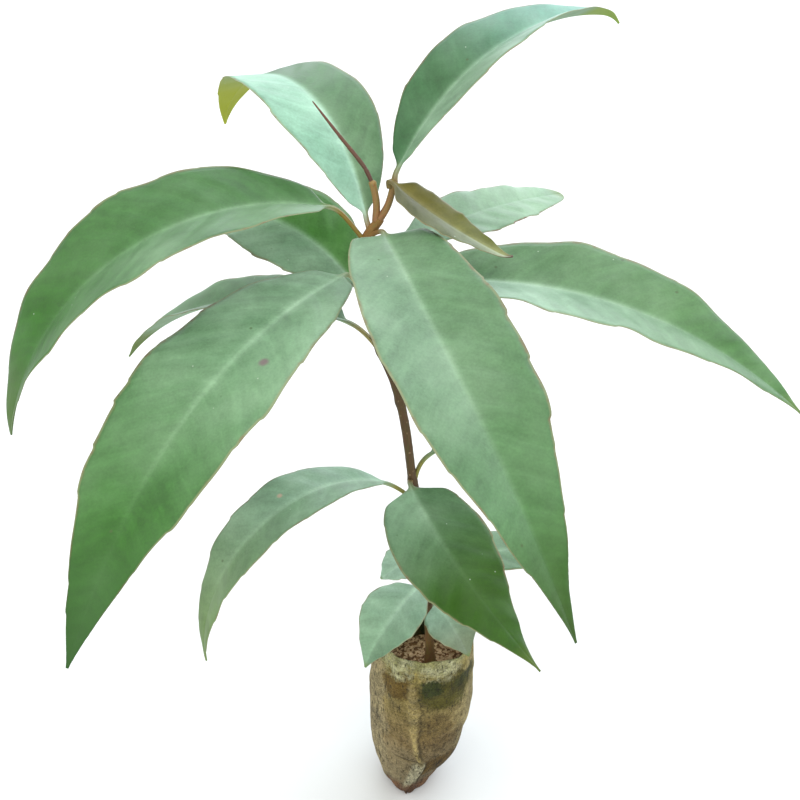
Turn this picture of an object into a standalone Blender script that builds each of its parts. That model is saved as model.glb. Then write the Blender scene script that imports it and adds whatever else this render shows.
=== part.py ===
# Potted kadsura coccinea: a young evergreen climber in a small nursery bag.
# Units are metres, +Z is up, the front of the plant looks along -Y.
# The origin lies on the bag's flat underside, under the middle of its body.

import math

import bmesh
import bpy
from mathutils import Vector

# Driving dimensions, in millimetres and degrees
MM = 0.001
BAG_HEIGHT = 90.0
BAG_WALL = 1.0
SOIL_HEIGHT = 72.0
GAP = 0.3
STEM_FOOT = 2.9
STEM_RADIUS = 2.1
STEM_TOP_RADIUS = 1.8
STEM_FLARE = 9.0
PETIOLE_RADIUS = 1.1
LEAF_SLENDERNESS = 90.0
THINNEST_LEAF = 1.1
TWIG_RADIUS = 1.5
BUD_RADIUS = 1.1

# Bag sections from the foot to the rim: height, half width across, half depth,
# how far the section draws to a corner at the front and back seam, shift to the right
BAG_SECTIONS = [
    (0.0, 11.0, 18.0, 1.6, -5.0),
    (3.0, 13.5, 19.5, 1.45, -5.0),
    (9.0, 17.0, 21.0, 1.25, -4.5),
    (20.0, 22.0, 23.0, 1.1, -2.5),
    (42.0, 26.0, 24.5, 1.0, -0.4),
    (66.0, 25.5, 24.5, 1.0, -0.2),
    (80.0, 24.5, 24.0, 1.0, 0.4),
    (90.0, 23.5, 23.5, 1.0, 1.0),
]

# Bends of the stem, from the soil to the fork: height, place to the right, place to the back
STEM_BENDS = [
    (72.0, 4.0, 0.0),
    (102.0, 2.8, 0.5),
    (133.0, 0.8, 1.0),
    (175.0, -5.0, 0.0),
    (207.0, -9.0, -0.5),
    (226.0, -13.5, 0.0),
    (241.0, -19.5, 0.5),
    (262.0, -25.5, 0.5),
    (279.0, -26.3, 0.0),
    (288.0, -24.0, 0.0),
    (296.0, -18.8, 0.0),
]

# What a leaf takes when its own dictionary doesn't say otherwise.
# height: where its stalk leaves the stem. azimuth: 0 is right, 90 is back, -90 is front.
# rise: slope of the stalk. knee: how late the stalk bends to the blade's slope.
# turn: how far the stalk swings into the leaf's azimuth.
# lift: slope at the blade's base. droop: how far the blade bends down along its length,
# later for a bend over 1. sweep: how far it turns sideways. roll: tilt about the midrib.
# fold: how far each half rises from the midrib. widest: where the blade is widest.
# base and full: under 1 they keep the base and the end of the blade broad.
LEAF_RULE = dict(petiole=12, rise=30, knee=2, turn=0, lift=10, droop=40, bend=1.0, sweep=0, roll=0,
                 fold=8, widest=0.42, base=0.8, full=1.0, steps=16)

LEAVES = {
    "leaf_left_arching": dict(height=287, azimuth=-163, petiole=21, rise=54, knee=5, length=169, width=60,
                              lift=14, droop=91, fold=13, roll=-12, base=0.6, full=0.7),
    "leaf_upper_left": dict(height=291, azimuth=130, petiole=6, rise=55, length=136, width=46, lift=74,
                            droop=132, bend=1.1, fold=5, roll=-4, full=0.9),
    "leaf_left_front": dict(height=264, azimuth=-132, petiole=16, rise=60, knee=5, length=182, width=57,
                            lift=-6, droop=48, sweep=17, roll=-5, base=0.5),
    "leaf_front": dict(height=289, azimuth=-75.5, rise=35, turn=-50, length=175, width=52, lift=-10,
                       droop=50, sweep=28, fold=14, roll=4, base=0.32, full=1.1),
    "leaf_right": dict(height=263, azimuth=-6, petiole=16, rise=35, length=168, width=52, lift=8, droop=43,
                       bend=1.2, sweep=-27, fold=15, roll=11, full=1.12),
    "leaf_back_right": dict(height=276, azimuth=45, rise=20, length=121, width=30, lift=9, droop=17,
                            fold=4, roll=18, base=2.0, full=0.45),
    "leaf_back_left": dict(height=264, azimuth=150, petiole=3, rise=50, length=92, width=46, lift=50,
                           droop=78, fold=4, roll=-20),
    "leaf_far_left": dict(height=239, azimuth=161, petiole=18, rise=50, length=122, width=42,
                          lift=18, droop=68, fold=15),
    "leaf_back_low": dict(height=215, azimuth=75, petiole=14, rise=45, length=118, width=44,
                          lift=25, droop=85, fold=10),
    "leaf_lower_left": dict(height=165, azimuth=-145, petiole=22, rise=50, length=131, width=31, lift=33,
                            droop=127, roll=-2),
    "leaf_lower_front": dict(height=176, azimuth=-70, petiole=7, turn=60, length=98, width=44, lift=-18,
                             droop=24, sweep=40, fold=-3, roll=8, widest=0.34, base=0.4, full=1.3),
    "leaf_lower_right": dict(height=172, azimuth=25, petiole=18, rise=85, length=52, width=26,
                             lift=25, droop=50, fold=10, steps=10),
    "leaf_low_right": dict(height=123, azimuth=25, petiole=10, length=70, width=32, lift=2, droop=15,
                           fold=0, steps=10),
    "leaf_low_left": dict(height=134, azimuth=-155, petiole=5, rise=20, length=19, width=24, lift=-5,
                          droop=30, fold=5, steps=8),
    "leaf_foot_left": dict(height=120, azimuth=-130, petiole=4, rise=20, length=48, width=32,
                           lift=-5, droop=50, fold=10, steps=10),
    "leaf_foot_right": dict(height=110, azimuth=-52, petiole=4, rise=20, length=31, width=28,
                            lift=-10, droop=40, fold=10, steps=8),
}

# The two leaves at the fork grow from the end of the right twig: place, then as above
TWIG_LEAVES = {
    "leaf_top_right": dict(foot=(-13.1, 0.0, 310.1), azimuth=35, petiole=5, rise=85, length=133, width=43,
                           lift=58, droop=70, fold=19),
    "leaf_young": dict(foot=(-14.5, 0.0, 308.8), azimuth=-22, petiole=5, rise=75, turn=140, length=55,
                       width=19, lift=-35, droop=-16, roll=14, widest=0.38, base=0.3, steps=10),
}


def smooth_between(rows, height):
    # Reads a list of rows at a height: a smooth curve through the rows' values
    last = len(rows) - 1
    i = 0
    while i < last - 1 and height > rows[i + 1][0]:
        i += 1
    before = rows[max(i - 1, 0)]
    here = rows[i]
    after = rows[i + 1]
    beyond = rows[min(i + 2, last)]
    span = after[0] - here[0]
    t = min(max((height - here[0]) / span, 0.0), 1.0)
    values = []
    for k in range(1, len(here)):
        slope_in = (after[k] - before[k]) / (after[0] - before[0])
        slope_out = (beyond[k] - here[k]) / (beyond[0] - here[0])
        cube = (2 * t ** 3 - 3 * t ** 2 + 1) * here[k] + (3 * t ** 2 - 2 * t ** 3) * after[k]
        bend = (t ** 3 - 2 * t ** 2 + t) * slope_in + (t ** 3 - t ** 2) * slope_out
        values.append(cube + bend * span)
    return values


def stem_point(height):
    x, y = smooth_between(STEM_BENDS, height)
    return Vector((x, y, height))


def stem_radius(height):
    # Narrows evenly to the fork, and flares over the last millimetres above the soil
    low = STEM_BENDS[0][0]
    high = STEM_BENDS[-1][0]
    even = STEM_RADIUS + (STEM_TOP_RADIUS - STEM_RADIUS) * (height - low) / (high - low)
    flare = (STEM_FOOT - STEM_RADIUS) * math.exp(-((height - low) / STEM_FLARE) ** 2 * 3)
    return even + flare


def heading(azimuth, slope):
    a = math.radians(azimuth)
    e = math.radians(slope)
    return Vector((math.cos(e) * math.cos(a), math.cos(e) * math.sin(a), math.sin(e)))


def leaf_path(leaf):
    # Walks from the stem along the stalk, then along the midrib, and turns a little at each step
    stalk_steps = 6
    place = Vector(leaf["foot"]) if "foot" in leaf else stem_point(leaf["height"])
    stalk = [place.copy()]
    for i in range(stalk_steps):
        t = (i + 0.5) / stalk_steps
        azimuth = leaf["azimuth"] - leaf["turn"] * (1 - t)
        slope = leaf["rise"] + (leaf["lift"] - leaf["rise"]) * t ** leaf["knee"]
        place = place + heading(azimuth, slope) * (leaf["petiole"] / stalk_steps)
        stalk.append(place.copy())
    midrib = [place.copy()]
    steps = leaf["steps"]
    fine = 4
    for i in range(steps * fine):
        t = (i + 0.5) / (steps * fine)
        azimuth = leaf["azimuth"] + leaf["sweep"] * t
        slope = leaf["lift"] - leaf["droop"] * t ** leaf["bend"]
        place = place + heading(azimuth, slope) * (leaf["length"] / (steps * fine))
        if i % fine == fine - 1:
            midrib.append(place.copy())
    return stalk, midrib


def half_width(leaf, t):
    # Swells from the stalk to the widest place, then narrows to a drawn-out tip
    peak = leaf["widest"]
    if t < peak:
        part = math.sin(math.pi / 2 * t / peak) ** leaf["base"]
    else:
        part = math.cos(math.pi / 2 * (t - peak) / (1 - peak)) ** (1.15 * leaf["full"])
    return 0.5 + (leaf["width"] / 2 - 0.5) * max(part, 0.0)


def blade_point(leaf, midrib, t, across):
    # A place on the blade: t runs along the midrib, across from -1 to 1 over the width
    steps = leaf["steps"]
    centre = midrib[round(t * steps)]
    azimuth = leaf["azimuth"] + leaf["sweep"] * t
    slope = leaf["lift"] - leaf["droop"] * t ** leaf["bend"]
    ahead = heading(azimuth, slope)
    side = heading(azimuth + 90, 0)
    face = ahead.cross(side)
    turn = math.radians(leaf["roll"])
    rolled_side = side * math.cos(turn) + face * math.sin(turn)
    rolled_face = face * math.cos(turn) - side * math.sin(turn)
    reach = half_width(leaf, t)
    rise = math.radians(leaf["fold"])
    out = rolled_side * (across * reach * math.cos(rise))
    up = rolled_face * (abs(across) * reach * math.sin(rise))
    return (centre + out + up) * MM


def plain_material(name, colour, roughness):
    material = bpy.data.materials.new(name)
    material.use_nodes = True
    shader = material.node_tree.nodes["Principled BSDF"]
    shader.inputs["Base Color"].default_value = (*colour, 1.0)
    shader.inputs["Roughness"].default_value = roughness
    shader.inputs["Metallic"].default_value = 0.0
    material.diffuse_color = (*colour, 1.0)
    return material


def finish(thing, material, smooth=True):
    thing.data.materials.clear()
    thing.data.materials.append(material)
    if smooth:
        thing.data.shade_smooth()
        thing.data.set_sharp_from_angle(angle=math.radians(40))


def mesh_object(name, bm, home):
    bmesh.ops.recalc_face_normals(bm, faces=bm.faces)
    mesh = bpy.data.meshes.new(name)
    bm.to_mesh(mesh)
    bm.free()
    thing = bpy.data.objects.new(name, mesh)
    home.objects.link(thing)
    return thing


def tube(name, points, radii, home, sides=2):
    # A round limb along its points, as a bevelled curve turned into a mesh
    curve = bpy.data.curves.new(name + "_route", "CURVE")
    curve.dimensions = "3D"
    curve.bevel_depth = MM
    curve.bevel_resolution = sides
    curve.use_fill_caps = True
    spline = curve.splines.new("POLY")
    spline.points.add(len(points) - 1)
    for spot, point, radius in zip(spline.points, points, radii):
        spot.co = (point.x * MM, point.y * MM, point.z * MM, 1.0)
        spot.radius = radius
    route = bpy.data.objects.new(name + "_route", curve)
    home.objects.link(route)
    bpy.context.view_layer.update()
    graph = bpy.context.evaluated_depsgraph_get()
    mesh = bpy.data.meshes.new_from_object(route.evaluated_get(graph))
    bm = bmesh.new()
    bm.from_mesh(mesh)
    bmesh.ops.remove_doubles(bm, verts=bm.verts, dist=0.00001)
    bmesh.ops.recalc_face_normals(bm, faces=bm.faces)
    bm.to_mesh(mesh)
    bm.free()
    limb = bpy.data.objects.new(name, mesh)
    limb.matrix_world = route.matrix_world.copy()
    home.objects.link(limb)
    bpy.data.objects.remove(route)
    return limb


def apply_modifiers(thing):
    # Keeps the shape that the modifiers make, and drops the modifiers
    bpy.context.view_layer.update()
    graph = bpy.context.evaluated_depsgraph_get()
    mesh = bpy.data.meshes.new_from_object(thing.evaluated_get(graph))
    thing.modifiers.clear()
    thing.data = mesh


def bag_ring(height, inset):
    # One level section of the bag: an ellipse whose front and back draw to a seam corner
    across, depth, corner, shift = smooth_between(BAG_SECTIONS, height)
    ring = []
    count = 28
    for i in range(count):
        turn = 2 * math.pi * i / count
        c = math.cos(turn)
        s = math.sin(turn)
        x = (across - inset) * math.copysign(abs(c) ** corner, c) + shift
        y = (depth - inset) * s
        ring.append(Vector((x, y, height)) * MM)
    return ring


def loft(bm, rings, close_top):
    # Skins a stack of unlike rings, with a cap fan on the lowest and, if asked, on the highest
    rows = []
    for ring in rings:
        rows.append([bm.verts.new(point) for point in ring])
    count = len(rows[0])
    for low, high in zip(rows, rows[1:]):
        for i in range(count):
            j = (i + 1) % count
            bm.faces.new((low[i], low[j], high[j], high[i]))
    ends = [rows[0]]
    if close_top:
        ends.append(rows[-1])
    for row in ends:
        middle = sum((v.co for v in row), Vector()) / count
        hub = bm.verts.new(middle)
        for i in range(count):
            bm.faces.new((row[i], row[(i + 1) % count], hub))


def build_bag(home, material):
    # An open sack of one cloth: its outside is the driving shape, the wall grows inward
    heights = [0.0, 1.5, 4.0, 9.0, 16.0, 26.0, 42.0, 58.0, 72.0, 82.0, BAG_HEIGHT]
    bm = bmesh.new()
    loft(bm, [bag_ring(h, 0.0) for h in heights], close_top=False)
    bag = mesh_object("bag", bm, home)
    wall = bag.modifiers.new("wall", "SOLIDIFY")
    wall.thickness = BAG_WALL * MM
    wall.offset = -1.0
    finish(bag, material)
    return bag


def build_soil(home, material):
    # Fills the sack to a little under the rim, with a low mound round the stem
    inset = BAG_WALL * 1.25 + GAP
    floor = BAG_WALL + GAP
    heights = [floor, 4.0, 9.0, 16.0, 26.0, 42.0, 58.0, SOIL_HEIGHT - 2.0]
    rings = [bag_ring(h, inset) for h in heights]
    brim = rings[-1]
    centre = sum(brim, Vector()) / len(brim)
    for part, rise in ((0.72, 1.2), (0.36, 2.0 - GAP)):
        rings.append([centre.lerp(p, part) + Vector((0, 0, rise * MM)) for p in brim])
    bm = bmesh.new()
    loft(bm, rings, close_top=True)
    soil = mesh_object("soil", bm, home)
    finish(soil, material)
    return soil


def stem_run(extra):
    # The stem's points and radii from the soil to the fork, grown by extra
    low = STEM_BENDS[0][0]
    high = STEM_BENDS[-1][0]
    heights = [low, low + 3, low + 7, low + 12]
    heights += [low + 12 + (high - low - 12) * i / 26 for i in range(1, 27)]
    points = [stem_point(h) for h in heights]
    points[1].xy = points[0].xy
    radii = [stem_radius(h) + extra for h in heights]
    return points, radii


def twig_run(side, extra):
    # The fork's two short twigs: the right one goes on from the stem, the left one leaves its side
    top = stem_point(STEM_BENDS[-1][0])
    if side == "right":
        ahead = (top - stem_point(STEM_BENDS[-1][0] - 1)).normalized()
        points = [top + ahead * GAP, top + Vector((3.4, 0, 6.0)), Vector((-13.0, 0.0, 310.5))]
    else:
        points = [Vector((-20.9, 0.0, 296.0)), Vector((-20.3, 0.0, 303.0)), Vector((-21.6, 0.0, 311.5))]
    radii = [TWIG_RADIUS + extra, TWIG_RADIUS * 0.92 + extra, TWIG_RADIUS * 0.85 + extra]
    return points, radii


def clear_of(thing, cutters):
    # Cuts the parts of a limb that would lie inside its carrier, a gap's width clear of it
    for cutter in cutters:
        cut = thing.modifiers.new("clearance", "BOOLEAN")
        cut.operation = "DIFFERENCE"
        cut.object = cutter
    apply_modifiers(thing)


def build_leaf(name, leaf, home, work, material, cutters):
    # A sheet bent to the blade and thickened, joined to its stalk, then cut clear of the stem
    leaf = {**LEAF_RULE, **leaf}
    stalk, midrib = leaf_path(leaf)
    bm = bmesh.new()
    bmesh.ops.create_grid(bm, x_segments=leaf["steps"], y_segments=4, size=0.5)
    for spot in bm.verts:
        spot.co = blade_point(leaf, midrib, spot.co.x + 0.5, spot.co.y * 2)
    blade = mesh_object(name + "_blade", bm, work)
    skin = blade.modifiers.new("skin", "SOLIDIFY")
    skin.thickness = max(leaf["length"] / LEAF_SLENDERNESS, THINNEST_LEAF) * MM
    skin.offset = 0.0
    apply_modifiers(blade)
    inner = midrib[1] if leaf["steps"] > 8 else midrib[2]
    route = stalk + [midrib[0].lerp(inner, 0.7)]
    radii = [PETIOLE_RADIUS] * len(stalk) + [PETIOLE_RADIUS * 0.5]
    tube(name + "_stalk", route, radii, work, sides=1)
    mesh = bpy.data.meshes.new(name)
    whole = bpy.data.objects.new(name, mesh)
    home.objects.link(whole)
    join = whole.modifiers.new("join", "BOOLEAN")
    join.operation = "UNION"
    join.operand_type = "COLLECTION"
    join.collection = work
    apply_modifiers(whole)
    for piece in list(work.objects):
        bpy.data.objects.remove(piece)
    clear_of(whole, cutters)
    finish(whole, material)
    return whole


def main():
    for old in list(bpy.data.objects):
        bpy.data.objects.remove(old)
    plant = bpy.data.collections.new("potted_kadsura_coccinea")
    work = bpy.data.collections.new("pieces_to_join")
    guides = bpy.data.collections.new("cutters")
    for group in (plant, work, guides):
        bpy.context.scene.collection.children.link(group)
    build_bag(plant, plain_material("bag_cloth", (0.275, 0.242, 0.125), 0.92))
    build_soil(plant, plain_material("potting_soil", (0.150, 0.072, 0.042), 0.95))
    bark = plain_material("stem_bark", (0.135, 0.055, 0.018), 0.75)
    points, radii = stem_run(0.0)
    stem = tube("stem", points, radii, plant, sides=3)
    finish(stem, bark)
    points, radii = stem_run(GAP)
    points[-1] = points[-1] + (points[-1] - points[-2]).normalized() * GAP
    stem_cut = tube("stem_clearance", points, radii, guides, sides=3)
    twig_bark = plain_material("twig_bark", (0.270, 0.130, 0.050), 0.65)
    points, radii = twig_run("right", 0.0)
    right = tube("twig_right", points, radii, plant)
    clear_of(right, [stem_cut])
    finish(right, twig_bark)
    points, radii = twig_run("right", GAP)
    points[-1] = points[-1] + (points[-1] - points[-2]).normalized() * GAP
    right_cut = tube("twig_clearance", points, radii, guides)
    points, radii = twig_run("left", 0.0)
    left = tube("twig_left", points, radii, plant)
    clear_of(left, [stem_cut, right_cut])
    finish(left, twig_bark)
    points, radii = twig_run("left", GAP)
    points[-1] = points[-1] + (points[-1] - points[-2]).normalized() * GAP
    left_cut = tube("left_clearance", points, radii, guides)
    spike = [Vector((-21.6, 0.0, 311.0)), Vector((-24.5, 0.5, 316.5))]
    spike.append(Vector((-34.0, 1.5, 328.5)))
    spike.append(Vector((-43.5, 1.5, 341.0)))
    slim = [BUD_RADIUS, BUD_RADIUS, BUD_RADIUS * 0.9, 0.25]
    bud = tube("bud", spike, slim, plant)
    clear_of(bud, [left_cut])
    finish(bud, plain_material("bud_scale", (0.300, 0.105, 0.060), 0.6))
    green = (0.150, 0.300, 0.140)
    for name, leaf in LEAVES.items():
        material = plain_material(name + "_green", green, 0.4)
        build_leaf(name, leaf, plant, work, material, [stem_cut])
    for name, leaf in TWIG_LEAVES.items():
        colour = green if name == "leaf_top_right" else (0.200, 0.170, 0.080)
        material = plain_material(name + "_green", colour, 0.4)
        build_leaf(name, leaf, plant, work, material, [right_cut])
    for guide in guides.objects:
        guide.hide_render = True
        guide.display_type = "WIRE"


main()
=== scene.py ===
import math
import bpy
import numpy as np
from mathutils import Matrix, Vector


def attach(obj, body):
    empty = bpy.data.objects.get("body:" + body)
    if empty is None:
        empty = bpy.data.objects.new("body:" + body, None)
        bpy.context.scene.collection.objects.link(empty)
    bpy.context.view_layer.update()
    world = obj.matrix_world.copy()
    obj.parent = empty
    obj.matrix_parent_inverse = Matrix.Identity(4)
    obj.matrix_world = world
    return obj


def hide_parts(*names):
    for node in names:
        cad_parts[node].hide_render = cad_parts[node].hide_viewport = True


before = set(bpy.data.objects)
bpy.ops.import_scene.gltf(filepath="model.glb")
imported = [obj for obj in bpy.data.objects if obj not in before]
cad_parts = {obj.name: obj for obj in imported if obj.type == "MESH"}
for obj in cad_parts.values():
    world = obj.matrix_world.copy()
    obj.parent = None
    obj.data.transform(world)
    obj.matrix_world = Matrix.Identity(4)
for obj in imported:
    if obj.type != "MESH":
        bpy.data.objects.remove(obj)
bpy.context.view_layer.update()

# Young kadsura coccinea in a cloth nursery bag: the looks of every piece.
# Metres and +Z up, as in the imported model; sizes in the dictionaries are millimetres and degrees.
mm = 0.001

# Camera, floor and light

viewOfPhoto = dict(place=(-0.0108, -0.3813, 0.4109), tilt=63.0, lens=45.0, sensor=36.0)

camera = bpy.data.objects.new("camera", bpy.data.cameras.new("camera"))
camera.data.lens = viewOfPhoto["lens"]
camera.data.sensor_width = viewOfPhoto["sensor"]
camera.data.clip_start = 0.01
camera.location = viewOfPhoto["place"]
camera.rotation_euler = (math.radians(viewOfPhoto["tilt"]), 0, 0)
bpy.context.scene.collection.objects.link(camera)
bpy.context.scene.camera = camera
bpy.context.scene.view_settings.view_transform = "Standard"


def linear(hexColour):
    # sRGB hex to the linear colour that a socket takes: each channel by the sRGB curve, alpha 1
    parts = [int(hexColour[i:i + 2], 16) / 255 for i in (1, 3, 5)]
    return tuple(c / 12.92 if c <= 0.04045 else ((c + 0.055) / 1.055) ** 2.4 for c in parts) + (1.0,)


def put(tree, kind, inputs=None, stops=None, **settings):
    # Adds one node: its settings by name, its inputs by name or number (a value or a socket), a ramp's stops
    made = tree.nodes.new("ShaderNode" + kind)
    for name, value in settings.items():
        setattr(made, name, value)
    for key, value in (inputs or {}).items():
        if isinstance(value, bpy.types.NodeSocket):
            tree.links.new(value, made.inputs[key])
        else:
            made.inputs[key].default_value = value
    for i, (place, shade) in enumerate(stops or []):
        stop = made.color_ramp.elements[i] if i < 2 else made.color_ramp.elements.new(place)
        stop.position = place
        stop.color = linear(shade) if isinstance(shade, str) else (shade, shade, shade, 1)
    return made


def newMaterial(name, **constants):
    # A Principled material with its constants set on the shader's own sockets
    material = bpy.data.materials.new(name)
    material.use_nodes = True
    shader = material.node_tree.nodes["Principled BSDF"]
    for key, value in constants.items():
        shader.inputs[key.replace("_", " ")].default_value = value
    return material, material.node_tree, shader


def mark(tree, name):
    # The values that a mesh holds under this name at its points
    return put(tree, "Attribute", attribute_name=name).outputs["Vector"]


def noise(tree, place, scale, detail=2.0, rough=0.5, **more):
    # Noise about 0.5, in lumps of about 1 / scale, each detail halving them and adding its share of roughness
    return put(tree, "TexNoise", {"Vector": place, "Scale": scale, "Detail": detail, "Roughness": rough,
                                  **more}).outputs["Fac"]


def ease(tree, value, low, high, start=0.0, end=1.0, curve="LINEAR"):
    # Goes from start to end while the value goes from low to high, and stays there beyond them
    return put(tree, "MapRange", {"Value": value, "From Min": low, "From Max": high, "To Min": start,
                                  "To Max": end}, interpolation_type=curve).outputs[0]


def figure(tree, kind, *values):
    # One sum of the named kind, on numbers and sockets
    return put(tree, "Math", dict(enumerate(values)), operation=kind).outputs[0]


def grow(tree, value, factor, added):
    # The value times the factor, plus what is added
    return figure(tree, "MULTIPLY_ADD", value, factor, added)


def times(tree, a, b):
    # The product of two shares, kept between 0 and 1
    return put(tree, "Math", {0: a, 1: b}, operation="MULTIPLY", use_clamp=True).outputs[0]


def layOver(tree, under, share, over):
    # One colour over another by a share: each colour is a hex or a socket
    under, over = (linear(colour) if isinstance(colour, str) else colour for colour in (under, over))
    return put(tree, "Mix", {0: share, 6: under, 7: over}, data_type="RGBA").outputs[2]


def dress(tree, shader, colour, height, strength, depth):
    # Gives the shader its colour, and bumps its normal by a height from 0 to 1 times the depth in metres
    tree.links.new(colour, shader.inputs["Base Color"])
    bump = put(tree, "Bump", {"Height": height, "Strength": strength, "Distance": depth})
    tree.links.new(bump.outputs[0], shader.inputs["Normal"])


def addPiece(name, mesh, look, replaced=()):
    # Puts a finished mesh in the scene as a piece that rides the plant
    mesh.materials.append(look)
    piece = bpy.data.objects.new(name, mesh)
    bpy.context.scene.collection.objects.link(piece)
    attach(piece, "root")
    if replaced:
        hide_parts(*replaced)


studio = dict(floor="#cdcfcf", fleck="#c9cbcb", air="#fafcfe", airStrength=1.0, floorSize=9.0)
lamps = {
    "backSky": dict(place=(0.9, 1.5, 1.4), aim=(0, 0, 0.2), spread=85, power=3.0, colour="#eef6ff"),
    "frontSky": dict(place=(-0.5, -1.3, 1.4), aim=(0, 0, 0.2), spread=130, power=3.0, colour="#fffaf2"),
}

floorMesh = bpy.data.meshes.new("floor")
half = studio["floorSize"]
corners = [(-half, -half, 0), (half, -half, 0), (half, half, 0), (-half, half, 0)]
floorMesh.from_pydata(corners, [], [(0, 1, 2, 3)])
floor = bpy.data.objects.new("floor", floorMesh)
bpy.context.scene.collection.objects.link(floor)
# pale matt paper: an even ground for the eye, with a grain so faint that the shadow only looks less flat
paper, tree, shader = newMaterial("palePaper", Roughness=0.9)
grain = noise(tree, put(tree, "TexCoord").outputs["Object"], 40.0)
tree.links.new(layOver(tree, studio["floor"], grain, studio["fleck"]), shader.inputs["Base Color"])
floorMesh.materials.append(paper)

world = bpy.data.worlds.new("studioAir")
world.use_nodes = True
world.node_tree.nodes["Background"].inputs["Color"].default_value = linear(studio["air"])
world.node_tree.nodes["Background"].inputs["Strength"].default_value = studio["airStrength"]
bpy.context.scene.world = world

for name, lamp in lamps.items():
    light = bpy.data.lights.new(name, "SUN")
    light.angle = math.radians(lamp["spread"])
    light.energy = lamp["power"]
    light.color = linear(lamp["colour"])[:3]
    holder = bpy.data.objects.new(name, light)
    holder.location = lamp["place"]
    holder.rotation_euler = (Vector(lamp["aim"]) - Vector(lamp["place"])).to_track_quat("-Z", "Y").to_euler()
    bpy.context.scene.collection.objects.link(holder)
print("camera, floor and lights are set")

# Surfaces worked out with numpy


def smoothRows(rows, at):
    # Reads rows of (place, values) at any places: between two rows each value follows the cubic whose
    # slope at a row is that of the straight line between the rows on either side of it
    rows = np.array(rows, float)
    at = np.asarray(at, float)
    i = np.clip(np.searchsorted(rows[:, 0], at, side="right") - 1, 0, len(rows) - 2)
    before, here = rows[np.maximum(i - 1, 0)], rows[i]
    after, beyond = rows[i + 1], rows[np.minimum(i + 2, len(rows) - 1)]
    span = (after - here)[..., :1]
    t = np.clip((at - here[..., 0])[..., None] / span, 0, 1)
    slopeIn = (after - before) / (after - before)[..., :1]
    slopeOut = (beyond - here) / (beyond - here)[..., :1]
    cube = (2 * t ** 3 - 3 * t ** 2 + 1) * here + (3 * t ** 2 - 2 * t ** 3) * after
    bend = (t ** 3 - 2 * t ** 2 + t) * slopeIn + (t ** 3 - t ** 2) * slopeOut
    return np.moveaxis((cube + bend * span)[..., 1:], -1, 0)


def ripple(points, size, seed, count=14):
    # Soft unevenness from about -1 to 1: the mean of sine waves in seeded directions, each about size long
    rng = np.random.default_rng(seed)
    waves = rng.normal(size=(count, 3))
    length = np.linalg.norm(waves, axis=1, keepdims=True)
    waves *= 2 * np.pi / (size * rng.uniform(0.7, 1.6, (count, 1))) / length
    return np.sin(points @ waves.T + rng.uniform(0, 2 * np.pi, count)).mean(-1) * 2.2


def skin(name, rings, look, replaced, marks=None):
    # Skins a stack of closed rings (along, around, 3) in millimetres with quads, and closes both ends
    # with a fan to the end ring's middle. Marks are values for each ring point that a material reads.
    along, around = rings.shape[:2]
    middles = np.stack([rings[0].mean(0), rings[-1].mean(0)])
    points = np.concatenate([rings.reshape(-1, 3), middles]) * mm
    ring = np.arange(around)
    turned = (ring + 1) % around
    rows = np.arange(along - 1)[:, None] * around
    low, nextLow = rows + ring, rows + turned
    quads = np.stack([low, nextLow, nextLow + around, low + around], -1).reshape(-1, 4)
    top = (along - 1) * around
    fans = [np.stack([turned, ring, np.full(around, along * around)], -1),
            np.stack([top + ring, top + turned, np.full(around, along * around + 1)], -1)]
    mesh = bpy.data.meshes.new(name)
    mesh.from_pydata(points.tolist(), [], quads.tolist() + np.concatenate(fans).tolist())
    for title, values in (marks or {}).items():
        ends = np.stack([values[0].mean(0), values[-1].mean(0)])
        layer = mesh.attributes.new(title, "FLOAT_VECTOR", "POINT")
        whole = np.concatenate([values.reshape(-1, 3), ends])
        layer.data.foreach_set("vector", whole.astype(np.float32).ravel())
    mesh.shade_smooth()
    addPiece(name, mesh, look, replaced)


def carry(path, radii, around, relief=None):
    # Carries a circle along a path: each ring stands square to the path, and turns as little as it can.
    # The relief adds to the radius; it takes the distance along (rows) and the angle round (columns).
    ahead = np.gradient(path, axis=0)
    ahead /= np.linalg.norm(ahead, axis=1, keepdims=True)
    side = np.cross(ahead, (0.0, -1.0, 0.0))
    side /= np.linalg.norm(side, axis=1, keepdims=True)
    front = np.cross(ahead, side)
    angle = np.arange(around) * 2 * np.pi / around
    gone = np.concatenate([[0], np.cumsum(np.linalg.norm(np.diff(path, axis=0), axis=1))])
    size = np.broadcast_to(np.asarray(radii, float)[:, None], (len(path), around))
    if relief is not None:
        size = size + relief(gone[:, None], angle[None, :])
    rings = path[:, None] + size[..., None] * (np.cos(angle)[:, None] * side[:, None]
                                               + np.sin(angle)[:, None] * front[:, None])
    marks = np.stack(np.broadcast_arrays(gone[:, None], angle[None, :] * size, 0.0), -1)
    return rings, marks


# Stem and twigs: young bark, brown and corky at the foot, orange-brown and smooth above

stemShape = dict(foot=2.9, radius=2.1, top=1.8, flare=9.0, around=36, rows=420,
                 bends=[(72, 4, 0), (102, 2.8, 0.5), (133, 0.8, 1), (175, -5, 0), (207, -9, -0.5),
                        (226, -13.5, 0), (241, -19.5, 0.5), (262, -25.5, 0.5), (279, -26.3, 0),
                        (288, -24, 0), (296, -18.8, 0)],
                 ridges=11, ridgeDepth=0.07, nodeSwell=0.35, nodeLength=2.2,
                 soilStained="#7d603c", dark="#4d3b1f", orange="#755526", lenticel="#7c6647")


def stemPoint(height):
    # The middle of the stem at a height: the smooth curve through its bends
    x, y = smoothRows(stemShape["bends"], height)
    return np.stack(np.broadcast_arrays(x, y, height), -1)


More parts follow.
